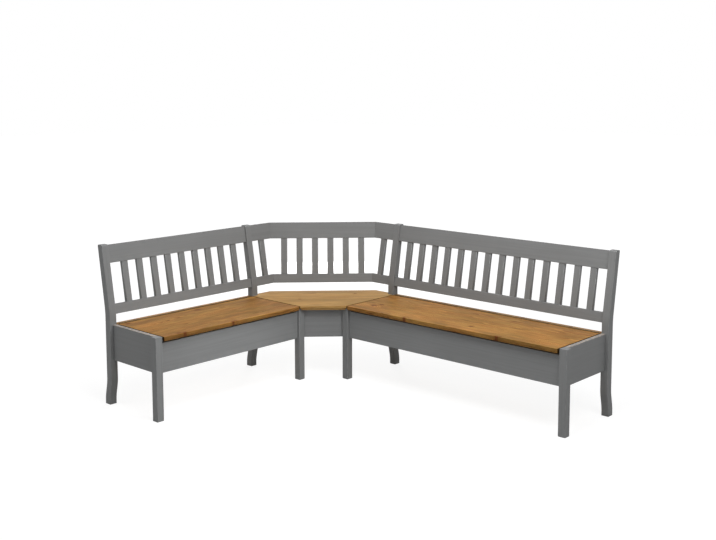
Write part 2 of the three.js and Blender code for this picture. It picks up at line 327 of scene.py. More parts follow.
@dataclass(frozen=True)
class GreyPaint:
    """Satin grey paint brushed on pine, so that the grain just telegraphs through it."""

    name: str = "grey_paint"
    slot: str = "grey_paint"
    colour: Colour = srgb(121, 122, 122)
    # The pale colour on eased edges: part worn paint, part painted highlight along the arrises; on a marked
    # top face it is a painted highlight.
    scuff_and_highlight_colour: Colour = srgb(150, 150, 149)
    scuff_and_highlight_share: float = 0.35
    streaks: Streaks = Streaks(2.2, 110.0, 3.0)
    streak_level: Range = (0.35, 0.65, 0.955, 1.03)
    fibres: Streaks = Streaks(9.0, 620.0)
    fibre_share: float = 0.45
    clouds_per_m: float = 3.5
    cloud_detail: float = 2.0
    cloud_level: Range = (0.3, 0.7, 0.98, 1.02)
    patches_per_m: float = 55.0
    patch_level: Range = (0.42, 0.62, 0.15, 1.0)
    roughness: Range = (0.3, 0.7, 0.50, 0.58)
    relief: float = 0.00016
    specular: float = 0.25

    def material(self) -> Material:
        """Mixes the painted finish.

        Returns:
            The material.
        """
        g = Graph(self.name)
        streaks = g.streaks(self.streaks)
        fibres = g.streaks(self.fibres)
        clouds = g.noise(g.place(), self.clouds_per_m, self.cloud_detail)
        level = g.times(g.remap(streaks, self.streak_level), g.remap(clouds, self.cloud_level))
        # Paler patches on eased edges, worn paint and painted edge highlight together.
        scuff_and_highlight_mask = g.remap(g.noise(g.place(), self.patches_per_m), self.patch_level)
        scuff_and_highlight_mask = g.times(scuff_and_highlight_mask, g.times(g.arris(), self.scuff_and_highlight_share))
        colour = g.mix(scuff_and_highlight_mask, g.tint(self.colour, level), self.scuff_and_highlight_colour)
        height = g.math("MULTIPLY_ADD", fibres, self.fibre_share, g.times(streaks, 1 - self.fibre_share))
        roughness = g.remap(streaks, self.roughness)
        normal = g.bump(height, self.relief)
        return g.surface(colour, roughness, Normal=normal, Specular_IOR_Level=self.specular)


@dataclass(frozen=True)
class Knot:
    """A knot in a seat board: its place along and across the grain, and its radius."""

    along: float
    across: float
    radius: float


@dataclass(frozen=True)
class Stave:
    """Where a point lies in its stave and what is the stave's own, as sockets."""

    along: Socket
    sideways: Socket
    through: Socket
    joint: Socket
    first: Socket
    second: Socket
    shift: Socket


@dataclass(frozen=True)
class StainedPine:
    """Glued pine staves, stained honey and varnished; the rings are solid, so end grain shows arcs."""

    name: str
    knots: tuple[Knot, ...] = ()
    seed: float = 0.0
    slot: str = "stained_pine"
    early: Colour = srgb(163, 122, 65)
    late: Colour = srgb(103, 60, 23)
    warm: float = 0.91
    figure: float = 1.0
    stave: float = 0.088
    stave_shift: float = 40.0
    stave_level: Range = (0.0, 1.0, 0.85, 1.10)
    joint_line: Range = (0.492, 0.4985, 0.0, 1.0)
    joint_level: float = 0.80
    ring: float = 0.0052
    ring_stops: Stops = ((0.0, 0.12), (0.35, 0.0), (0.82, 0.75), (0.93, 1.0), (1.0, 0.15))
    pith_across: Range = (0.0, 1.0, -0.05, 0.05)
    pith_depth: Range = (0.0, 1.0, 0.012, 0.075)
    wander_per_m: float = 1.3
    wander: Range = (0.25, 0.75, -0.032, 0.032)
    wander_deep: float = 0.6
    ripples: Streaks = Streaks(5.0, 34.0)
    ripple_reach: float = 0.006
    fibres: Streaks = Streaks(14.0, 900.0)
    fibre_level: Range = (0.3, 0.7, 0.94, 1.05)
    bands: Streaks = Streaks(3.2, 26.0)
    band_level: Range = (0.38, 0.62, 0.84, 1.10)
    band_rings: Range = (0.38, 0.62, 0.15, 1.0)
    redness: Streaks = Streaks(4.0, 13.0)
    redness_read: tuple[float, float] = (0.40, 0.60)
    blotches: Streaks = Streaks(3.0, 9.0, 3.0)
    blotch_level: Range = (0.38, 0.62, 0.84, 1.12)
    flecks: Streaks = Streaks(9.0, 55.0)
    fleck_level: Range = (0.40, 0.60, 0.88, 1.10)
    knot_wood: Colour = srgb(98, 52, 24)
    knot_stretch: float = 0.75
    knot_push: float = 0.015
    knot_push_fade: float = -0.28
    knot_halo: Range = (2.6, 0.9, 0.0, 0.38)
    knot_core: Range = (1.15, 0.70, 0.0, 0.9)
    knot_level: Range = (0.2, 0.9, 1.5, 0.8)
    no_knot: float = 100.0
    # How dark faces marked 1 go: stain on end grain and eased edges, painted shade on the lower front arris
    # and, in part, the front face.
    end_stain_and_shade: float = 0.18
    # Painted highlight: how much lighter the upper front arris is.
    painted_arris_highlight: float = 1.22
    late_height: float = 0.35
    fibre_height: float = 0.5
    relief: float = 0.00014
    roughness: float = 0.46
    fibre_roughness: float = 0.08
    specular: float = 0.06

    def in_stave(self, g: Graph) -> Stave:
        """Divides the board into staves.

        Args:
            g: the material's nodes.

        Returns:
            The point's place in its stave, and the stave's random values.
        """
        along, across, through = g.split(g.stock())
        place = g.math("DIVIDE", across, self.stave)
        first, second, third = g.random(g.math("ADD", g.math("FLOOR", place), self.seed))
        middle = g.math("SUBTRACT", g.math("FRACT", place), 0.5)
        joint = g.remap(g.math("ABSOLUTE", middle), self.joint_line)
        sideways = g.times(middle, self.stave)
        return Stave(along, sideways, through, joint, first, second, g.times(third, self.stave_shift))

    def knot_distance(self, g: Graph) -> Socket:
        """Measures how far away the nearest knot is.

        Args:
            g: the material's nodes.

        Returns:
            The distance in knot radii; a large one where the board has no knots.
        """
        nearest: Value = self.no_knot
        for knot in self.knots:
            away = g.vector("SUBTRACT", g.stock(), (knot.along, knot.across, 0.0))
            scale = (self.knot_stretch / knot.radius, 1 / knot.radius, 0.0)
            reach = g.vector("LENGTH", g.vector("MULTIPLY", away, scale))
            nearest = g.math("MINIMUM", reach, nearest)
        return g.math("ADD", nearest, 0.0)

    def late_wood(self, g: Graph, stave: Stave, knot: Socket) -> Socket:
        """Growth rings round a pith that wanders along the stave, pushed outwards by the knots.

        Args:
            g: the material's nodes.
            stave: the point's stave.
            knot: how far the nearest knot is.

        Returns:
            1 in a ring's late wood, 0 in its early wood.
        """
        down = g.math("MULTIPLY_ADD", stave.along, self.wander_per_m, stave.shift)
        wander = g.remap(g.noise(g.join(down, stave.shift, 0.0), 1.0, 1.0), self.wander)
        pith_across = g.math("ADD", g.remap(stave.first, self.pith_across), wander)
        pith_depth = g.math("ADD", g.remap(stave.second, self.pith_depth), g.times(wander, self.wander_deep))
        sideways = g.math("SUBTRACT", stave.sideways, pith_across)
        deep = g.math("ADD", stave.through, pith_depth)
        radius = g.vector("LENGTH", g.join(sideways, deep, 0.0))
        ripples = g.streaks(self.ripples, g.join(stave.shift, 0.0, 0.0))
        radius = g.math("MULTIPLY_ADD", ripples, self.ripple_reach, radius)
        push = g.math("EXPONENT", g.times(knot, knot, self.knot_push_fade))
        radius = g.math("MULTIPLY_ADD", push, self.knot_push, radius)
        return g.ramp(g.math("FRACT", g.math("DIVIDE", radius, self.ring)), self.ring_stops)

    def material(self) -> Material:
        """Mixes the stained and varnished finish.

        Returns:
            The material.
        """
        g = Graph(self.name)
        stave = self.in_stave(g)
        shift = stave.shift
        knot = self.knot_distance(g)
        fibres = g.streaks(self.fibres, g.join(shift, 0.0, 0.0))
        bands = g.streaks(self.bands, g.join(shift, 0.0, 0.0))
        late = g.times(self.late_wood(g, stave, knot), g.remap(bands, self.band_rings))
        redness = g.streaks(self.redness, g.join(shift, shift, 0.0))
        redness = g.remap(redness, (*self.redness_read, 1.0, self.warm))
        early = g.vector("MULTIPLY", self.early, g.join(1.0, redness, redness))
        level = g.times(
            g.remap(stave.first, self.stave_level),
            g.remap(fibres, self.fibre_level),
            g.remap(g.streaks(self.blotches, g.join(0.0, 0.0, shift)), self.blotch_level),
            g.remap(bands, self.band_level),
            g.remap(g.streaks(self.flecks, g.join(shift, 0.0, shift)), self.fleck_level),
        )
        level = g.math("MULTIPLY_ADD", g.math("SUBTRACT", level, 1.0), self.figure, 1.0)
        colour = g.tint(g.mix(late, early, self.late), level)
        colour = g.mix(g.remap(knot, self.knot_halo), colour, self.late)
        core = g.tint(self.knot_wood, g.remap(knot, self.knot_level))
        colour = g.mix(g.remap(knot, self.knot_core), colour, core)
        colour = g.tint(colour, g.remap(stave.joint, (0.0, 1.0, 1.0, self.joint_level)))
        # Stain on end grain and painted shade on the seat front darken; a painted highlight lightens the
        # upper front arris.
        colour = g.tint(colour, g.remap(g.arris(), (0.0, 1.0, 1.0, self.end_stain_and_shade)))
        colour = g.tint(colour, g.remap(g.arris(), (-1.0, 0.0, self.painted_arris_highlight, 1.0)))
        height = g.math("MULTIPLY_ADD", late, self.late_height, g.times(fibres, self.fibre_height))
        normal = g.bump(g.math("SUBTRACT", height, stave.joint), self.relief)
        roughness = g.math("MULTIPLY_ADD", fibres, self.fibre_roughness, self.roughness)
        return g.surface(colour, roughness, Normal=normal, Specular_IOR_Level=self.specular)


@dataclass(frozen=True)
class BarePlywood:
    """Sanded plywood, left raw inside the chests."""

    name: str = "plywood"
    slot: str = "plywood"
    pale: Colour = srgb(205, 178, 136)
    dark: Colour = srgb(176, 143, 98)
    figure: Streaks = Streaks(1.8, 15.0, 4.0)
    figure_share: Range = (0.35, 0.65, 0.0, 0.8)
    fibres: Streaks = Streaks(20.0, 800.0)
    fibre_level: Range = (0.3, 0.7, 0.94, 1.04)
    roughness: float = 0.75
    relief: float = 0.0001
    specular: float = 0.25

    def material(self) -> Material:
        """Mixes the raw veneer.

        Returns:
            The material.
        """
        g = Graph(self.name)
        fibres = g.streaks(self.fibres)
        colour = g.mix(g.remap(g.streaks(self.figure), self.figure_share), self.pale, self.dark)
        colour = g.tint(colour, g.remap(fibres, self.fibre_level))
        normal = g.bump(fibres, self.relief)
        return g.surface(colour, self.roughness, Normal=normal, Specular_IOR_Level=self.specular)


@dataclass(frozen=True)
class Metal:
    """Bare or plated metal with a fine brushed haze."""

    name: str
    colour: Colour
    roughness: float
    slot: str = "hinge_metal"
    haze_per_m: float = 420.0
    haze_detail: float = 2.0
    haze_read: tuple[float, float] = (0.3, 0.7)
    brighter: float = 0.06
    duller: float = 0.08
    tarnish_per_m: float = 30.0
    tarnish_level: Range = (0.35, 0.7, 1.0, 0.82)
    relief: float = 0.00003

    def material(self) -> Material:
        """Mixes the metal.

        Returns:
            The material.
        """
        g = Graph(self.name)
        haze = g.noise(g.place(), self.haze_per_m, self.haze_detail)
        tarnish = g.noise(g.place(), self.tarnish_per_m)
        colour = g.tint(self.colour, g.remap(tarnish, self.tarnish_level))
        reach = (self.roughness - self.brighter, self.roughness + self.duller)
        roughness = g.remap(haze, (*self.haze_read, *reach))
        return g.surface(colour, roughness, Metallic=1.0, Normal=g.bump(haze, self.relief))


Finish = Union[GreyPaint, StainedPine, BarePlywood, Metal]


@functools.cache
def mixed(finish: Finish) -> Material:
    """The material of a finish, mixed on the first call and handed out again after that."""
    return finish.material()


PAINT = GreyPaint()
# Painted highlight: the end panels' tops are drawn pale and warm, as light falling on them from above.
HIGHLIGHT_TOP_PAINT = GreyPaint("highlight_top_grey_paint", scuff_and_highlight_colour=srgb(170, 158, 147), scuff_and_highlight_share=0.95)
PLYWOOD = BarePlywood()
BRONZED = Metal("bronzed_steel", srgb(118, 102, 80), 0.50)
ZINC = Metal("zinc_plate", srgb(176, 174, 166), 0.38)


def rounded(mesh: BMesh, edges: Iterable[Edge], radius: float, steps: int) -> None:
    """Rounds edges over and marks the new faces as arris.

    Args:
        mesh: the piece being made.
        edges: the edges to round.
        radius: how far the rounding reaches on either side.
        steps: faces across the rounding.
    """
    layer = mesh.faces.layers.float.get(ARRIS_LAYER) or mesh.faces.layers.float.new(ARRIS_LAYER)
    made = bmesh.ops.bevel(
        mesh, geom=list(edges), offset=radius, offset_type="OFFSET", segments=steps,
        profile=0.5, affect="EDGES", clamp_overlap=True, material=-1,
    )
    for face in made["faces"]:
        face[layer] = 1.0
        face.smooth = True
    bmesh.ops.dissolve_degenerate(mesh, dist=SLIVER, edges=mesh.edges)


def sharp_edges(mesh: BMesh) -> list[Edge]:
    """The outward corners of a piece that are still sharp."""
    return [edge for edge in mesh.edges if edge.calc_face_angle_signed(0.0) > CORNER_ANGLE]


def longer_edges(edges: Iterable[Edge], axis: int, least: float) -> list[Edge]:
    """Those edges that reach further than a length along one axis."""
    return [edge for edge in edges if abs(edge.verts[0].co[axis] - edge.verts[1].co[axis]) > least]


def block(low: Vector, high: Vector) -> BMesh:
    """Makes a squared block of timber.

    Args:
        low: its lowest corner.
        high: its highest corner.

    Returns:
        The block.
    """
    mesh = bmesh.new()
    bmesh.ops.create_cube(mesh, size=1.0)
    bmesh.ops.scale(mesh, vec=high - low, verts=mesh.verts)
    bmesh.ops.translate(mesh, vec=(low + high) / 2, verts=mesh.verts)
    return mesh


def mark_stain_and_shade(mesh: BMesh, front: float) -> None:
    """Marks a seat board's edges: 1 on end grain, which takes most stain, and on the lower front arris as
    painted shade; -1 on the upper front arris as a painted highlight.

    Args:
        mesh: the board, its front towards -y.
        front: the mark of its front face, a painted shade that darkens it.
    """
    layer = mesh.faces.layers.float[ARRIS_LAYER]
    mesh.normal_update()
    for face in mesh.faces:
        if abs(face.normal.x) > END_LEAN:
            face[layer] = 1.0
        elif face.normal.y > -FRONT_LEAN:
            face[layer] = 0.0
        elif face.normal.z > UPPER_LEAN:
            # Painted highlight on the upper front arris.
            face[layer] = -1.0
        else:
            # Painted shade: the lower front arris fully, the front face by its mark.
            face[layer] = 1.0 if face.normal.z < -LOWER_LEAN else front


def packed_copy(node: str, into: Matrix) -> BMesh:
    """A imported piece's mesh, merged and with its flat faces made whole.

    Args:
        node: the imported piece.
        into: the frame that the copy is wanted in.

    Returns:
        The copy, in that frame.
    """
    mesh = bmesh.new()
    mesh.from_mesh(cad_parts[node].data)
    for layer in list(mesh.loops.layers.uv):
        mesh.loops.layers.uv.remove(layer)
    bmesh.ops.remove_doubles(mesh, verts=mesh.verts, dist=WELD)
    bmesh.ops.dissolve_limit(mesh, angle_limit=FLAT_ANGLE, verts=mesh.verts, edges=mesh.edges)
    bmesh.ops.transform(mesh, matrix=into.inverted(), verts=mesh.verts)
    return mesh


def front_lip(low: Vector, high: Vector, front: float) -> BMesh:
    """The strip glued under a seat's front edge, which makes the edge thicker.

    Args:
        low: its lowest corner.
        high: its highest corner.
        front: the painted shade of its front face.

    Returns:
        The strip, its front towards -y.
    """
    mesh = block(low, high)
    lower = [e for e in mesh.edges if all(v.co.z < high.z - WELD for v in e.verts)]
    rounded(mesh, lower, SIZES.seat_arris, steps=2)
    mark_stain_and_shade(mesh, front)
    return mesh


def from_name(name: str) -> Vector:
    """A place in the timber yard that is a piece's own, so that no two pieces share their figure."""
    spot = zlib.crc32(name.encode())
    return Vector([spot % steps for steps in YARD]) * YARD_STEP


@dataclass
class Piece:
    """One piece of the bench on its way from a mesh to a dressed object."""

    name: str
    mesh: BMesh
    finish: Finish
    body: str = BENCH
    replaces: tuple[str, ...] = ()

    def note_grain(self, grain: Grain, origin: Optional[Vector] = None) -> None:
        """Writes each point's place in its timber, before the piece is bent or placed.

        Args:
            grain: which way the grain runs in the frame the mesh is in now.
            origin: where the timber's own zero is; by default each piece has a figure of its own.
        """
        layer = self.mesh.verts.layers.float_vector.new(GRAIN_LAYER)
        start = from_name(self.name) if origin is None else -origin
        for vert in self.mesh.verts:
            place = vert.co + start
            vert[layer] = Vector([place[axis] for axis in grain.value])

    def place(self, matrix: Matrix, grain: Optional[Grain] = None, origin: Optional[Vector] = None) -> None:
        """Carries the mesh to its place in the row frame and makes it a dressed object.

        Args:
            matrix: from the frame that the mesh was made in to the row frame.
            grain: which way the grain runs in the former, unless that is noted already.
            origin: where the timber's own zero is, if it isn't the piece's own.
        """
        if grain is not None:
            self.note_grain(grain, origin)
        bmesh.ops.transform(self.mesh, matrix=matrix, verts=self.mesh.verts)
        data = bpy.data.meshes.new(self.name)
        self.mesh.to_mesh(data)
        self.mesh.free()
        made = bpy.data.objects.new(self.name, data)
        bpy.context.scene.collection.objects.link(made)
        data.materials.append(mixed(self.finish))
        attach(made, self.body)
        if self.replaces:
            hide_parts(*self.replaces)
        log.info("%s: %d faces, rides on %s", self.name, len(data.polygons), self.body)


@dataclass(frozen=True)
class Sizes:
    """What the benches share, in metres: heights above the floor, depths forward from the posts' backs."""

    bench_depth: float = 0.481
    seat_top: float = 0.470
    seat_thickness: float = 0.019
    post_width: float = 0.044
    post_depth: float = 0.046
    post_top_depth: float = 0.040
    post_top: float = 0.927
    bend_height: float = 0.545
    bend_blend: float = 0.034
    rake: float = math.radians(9.5)
    foot_kick: float = 0.020
    foot_kick_height: float = 0.155
    foot_straight: float = 0.024
    lip_drop: float = 0.006
    lip_depth: float = 0.014
    slat_width: float = 0.041
    rail_front: float = 0.036
    seat_nosing: float = 0.0022
    seat_arris: float = 0.0012
    seam: float = 0.0003

    @property
    def rake_slope(self) -> float:
        """How far back the raked part goes for each metre up."""
        return math.tan(self.rake)


SIZES = Sizes()


class Setting:
    """Where the benches and the corner stand in the row frame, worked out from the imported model."""

    def __init__(self) -> None:
        """Reads the legs' boxes."""
        right_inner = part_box("right_front_leg_inner")
        right_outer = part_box("right_front_leg_outer")
        left_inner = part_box("left_front_leg_inner")
        left_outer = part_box("left_front_leg_outer")
        wall_x = left_inner[1].x - SIZES.bench_depth
        wall_y = right_inner[0].y + SIZES.bench_depth
        self.wall = Vector((wall_x, wall_y, 0.0))
        self.corner_run = right_inner[0].x - wall_x
        self.right_length = right_outer[1].x - right_inner[0].x
        self.left_length = left_inner[1].y - left_outer[0].y
        quarter = Matrix.Rotation(math.pi / 2, 4, "Z")
        self.right = Matrix.Translation(self.wall + Vector((self.corner_run, 0.0, 0.0)))
        left_end = self.wall - Vector((0.0, self.corner_run + self.left_length, 0.0))
        left_start = self.wall - Vector((0.0, self.corner_run, 0.0))
        self.left = Matrix.Translation(left_end) @ quarter
        self.left_wing = Matrix.Translation(left_start) @ quarter
        self.across = Matrix.Translation(self.wall) @ Matrix.Rotation(math.pi / 4, 4, "Z")


@dataclass
class RearPost:
    """A rear post: upright past the seat, raked above it, kicked back at the foot."""

    name: str
    start: float
    arris: float = 0.002
    top_round: float = 0.008
    curve_cuts: int = 9

    def set_back(self, height: float) -> float:
        """Measures how far the post's line lies behind its upright stretch.

        Args:
            height: above the floor.

        Returns:
            The distance.
        """
        kick_top = SIZES.foot_kick_height
        if height < kick_top:
            share = (kick_top - max(height, SIZES.foot_straight)) / (kick_top - SIZES.foot_straight)
            return SIZES.foot_kick * share * share * (3 - 2 * share)
        blend_low = SIZES.bend_height - SIZES.bend_blend
        blend_top = SIZES.bend_height + SIZES.bend_blend
        if height <= blend_low:
            return 0.0
        if height >= blend_top:
            return SIZES.rake_slope * (height - SIZES.bend_height)
        share = (height - blend_low) / (blend_top - blend_low)
        return SIZES.rake_slope * SIZES.bend_blend * share * share

    def depth_kept(self, height: float) -> float:
        """The share of the post's depth that is left at a height, which tapers above the bend."""
        up = max(0.0, (height - SIZES.bend_height) / (SIZES.post_top - SIZES.bend_height))
        return 1 - up * (1 - SIZES.post_top_depth / SIZES.post_depth)

    def cut_heights(self) -> list[float]:
        """Says where the post is cut across so that its curves are smooth.

        Returns:
            Heights above the floor.
        """
        heights = []
        kick = (SIZES.foot_straight, SIZES.foot_kick_height)
        bend = (SIZES.bend_height - SIZES.bend_blend, SIZES.bend_height + SIZES.bend_blend)
        for low, high in (kick, bend):
            heights += [low + (high - low) * i / self.curve_cuts for i in range(self.curve_cuts + 1)]
        return heights

    def build(self, frame_matrix: Matrix) -> None:
        """Makes the post.

        Args:
            frame_matrix: its bench's frame.
        """
        low = Vector((self.start, -SIZES.post_depth, 0.0))
        high = Vector((self.start + SIZES.post_width, 0.0, SIZES.post_top))
        mesh = block(low, high)
        top_edges = [e for e in mesh.edges if all(v.co.z > SIZES.seat_top for v in e.verts)]
        rounded(mesh, [e for e in top_edges if e.verts[0].co.y == e.verts[1].co.y], self.top_round, steps=4)
        rounded(mesh, sharp_edges(mesh), self.arris, steps=3)
        for height in self.cut_heights():
            geometry = mesh.verts[:] + mesh.edges[:] + mesh.faces[:]
            bmesh.ops.bisect_plane(mesh, geom=geometry, plane_co=(0, 0, height), plane_no=(0, 0, 1))
        piece = Piece(self.name, mesh, PAINT, replaces=(self.name,))
        piece.note_grain(Grain.UP)
        for vert in mesh.verts:
            height = vert.co.z
            front_share = -vert.co.y / SIZES.post_depth
            lost = SIZES.post_depth * (1 - self.depth_kept(height))
            vert.co.y += self.set_back(height) - lost * (1 - front_share)
        piece.place(frame_matrix)


@dataclass
class FrontLeg:
    """A square front leg with eased edges, top and foot."""

    name: str
    arris: float = 0.002
    end_ease: float = 0.0015

    def build(self) -> None:
        """Makes the leg in its node's place."""
        low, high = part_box(self.name)
        mesh = block(low, high)
        rounded(mesh, longer_edges(mesh.edges, 2, self.arris), self.arris, steps=3)
        rounded(mesh, sharp_edges(mesh), self.end_ease, steps=2)
        Piece(self.name, mesh, PAINT, replaces=(self.name,)).place(Matrix.Identity(4), Grain.UP)


@dataclass
class BoardCopy:
    """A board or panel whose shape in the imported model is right: its copy, with eased edges."""

    node: str
    grain: Grain
    finish: Finish = PAINT
    arris: float = 0.0015
    highlight_top: bool = False
    top_lean: float = 0.3
    side_wear: float = 0.3
    lowered_top: float = 0.0

    def build(self, into: Matrix) -> None:
        """Makes the board.

        Args:
            into: the frame that the grain is told in.
        """
        mesh = packed_copy(self.node, into)
        top = max(vert.co.z for vert in mesh.verts)
        upper = [vert for vert in mesh.verts if vert.co.z > top - WELD]
        bmesh.ops.translate(mesh, vec=Vector((0.0, 0.0, -self.lowered_top)), verts=upper)
        rounded(mesh, sharp_edges(mesh), self.arris, steps=2)
        # Painted highlight: the whole top face is marked, so the pale colour covers it as light from above.
        if self.highlight_top:
            layer = mesh.faces.layers.float[ARRIS_LAYER]
            mesh.normal_update()
            for face in mesh.faces:
                face[layer] = 1.0 if face.normal.z > self.top_lean else self.side_wear * face[layer]
        Piece(self.node, mesh, self.finish, replaces=(self.node,)).place(into, self.grain)


def slat_row(middle: float, bay: float, end_gap: float, count: int) -> list[float]:
    """The middles of slats that are spread evenly over a bay, with a gap left at either end."""
    pitch = (bay - SIZES.slat_width - 2 * end_gap) / (count - 1)
    return [middle + (i - (count - 1) / 2) * pitch for i in range(count)]


@dataclass
class BackStretch:
    """A straight stretch of back: top rail, bottom rail and slats in one raked plane.

    Each end is an upright plane, square to the stretch or turned to a mitre.
    """

    name: str
    upright: Matrix
    left: float
    right: float
    slat_places: Sequence[float]
    slat_names: Sequence[str]
    slat_nodes: Sequence[str]
    rail_nodes: tuple[str, str]
    front: float = SIZES.rail_front
    left_slope: float = 0.0
    right_slope: float = 0.0
    rail_thickness: float = 0.026
    slat_thickness: float = 0.020
    top_rail_top: float = 0.9235
    top_rail_width: float = 0.106
    bottom_rail_bottom: float = 0.529
    bottom_rail_width: float = 0.058
    rail_arris: float = 0.0025
    slat_arris: float = 0.003

    def raked(self) -> Matrix:
        """The raked plane's frame: y = 0 on the rails' front, z up the slope from the bend."""
        lift = Matrix.Translation(Vector((0.0, -self.front, SIZES.bend_height)))
        return self.upright @ lift @ Matrix.Rotation(-SIZES.rake, 4, "X")

    def up_slope(self, height: float) -> float:
        """A height of the rails' front face, measured up the slope."""
        return (height - SIZES.bend_height) / math.cos(SIZES.rake)

    def rail_spans(self) -> tuple[tuple[float, float], tuple[float, float]]:
        """Works out where the rails lie up the slope.

        Returns:
            The top rail's and the bottom rail's reach.
        """
        top = self.up_slope(self.top_rail_top)
        bottom = self.up_slope(self.bottom_rail_bottom)
        return (top - self.top_rail_width, top), (bottom, bottom + self.bottom_rail_width)

    def rail(self, name: str, node: str, span: tuple[float, float]) -> None:
        """Makes a rail, its ends cut by the upright planes.

        Args:
            name: the rail's name.
            node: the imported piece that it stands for.
            span: its reach up the slope.
        """
        mesh = block(Vector((-1.0, 0.0, span[0])), Vector((1.0, self.rail_thickness, span[1])))
        # The block is only told left from right; its ends go where the planes cut its depth.
        for vert in mesh.verts:
            depth = vert.co.y * math.cos(SIZES.rake) + vert.co.z * math.sin(SIZES.rake)
            if vert.co.x > 0:
                vert.co.x = self.right + self.right_slope * depth
            else:
                vert.co.x = self.left + self.left_slope * depth
        rounded(mesh, longer_edges(sharp_edges(mesh), 0, SIZES.slat_width), self.rail_arris, steps=3)
        Piece(name, mesh, PAINT, replaces=(node,)).place(self.raked(), Grain.ALONG)

    def slat(self, name: str, node: str, middle: float, low: float, high: float) -> None:
        """Makes a slat.

        Args:
            name: the slat's name.
            node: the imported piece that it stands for.
            middle: its middle along the stretch.
            low: its foot up the slope.
            high: its top up the slope.
        """
        recess = (self.rail_thickness - self.slat_thickness) / 2
        half = SIZES.slat_width / 2
        corner = Vector((middle - half, recess, low))
        mesh = block(corner, Vector((middle + half, recess + self.slat_thickness, high)))
        rounded(mesh, longer_edges(mesh.edges, 2, SIZES.slat_width), self.slat_arris, steps=3)
        Piece(name, mesh, PAINT, replaces=(node,)).place(self.raked(), Grain.UP)

    def build(self) -> None:
        """Makes the stretch's rails and slats."""
        top, bottom = self.rail_spans()
        self.rail(f"{self.name}_top_rail", self.rail_nodes[0], top)
        self.rail(f"{self.name}_bottom_rail", self.rail_nodes[1], bottom)
        for name, node, middle in zip(self.slat_names, self.slat_nodes, self.slat_places):
            self.slat(name, node, middle, bottom[1] + SIZES.seam, top[0] - SIZES.seam)


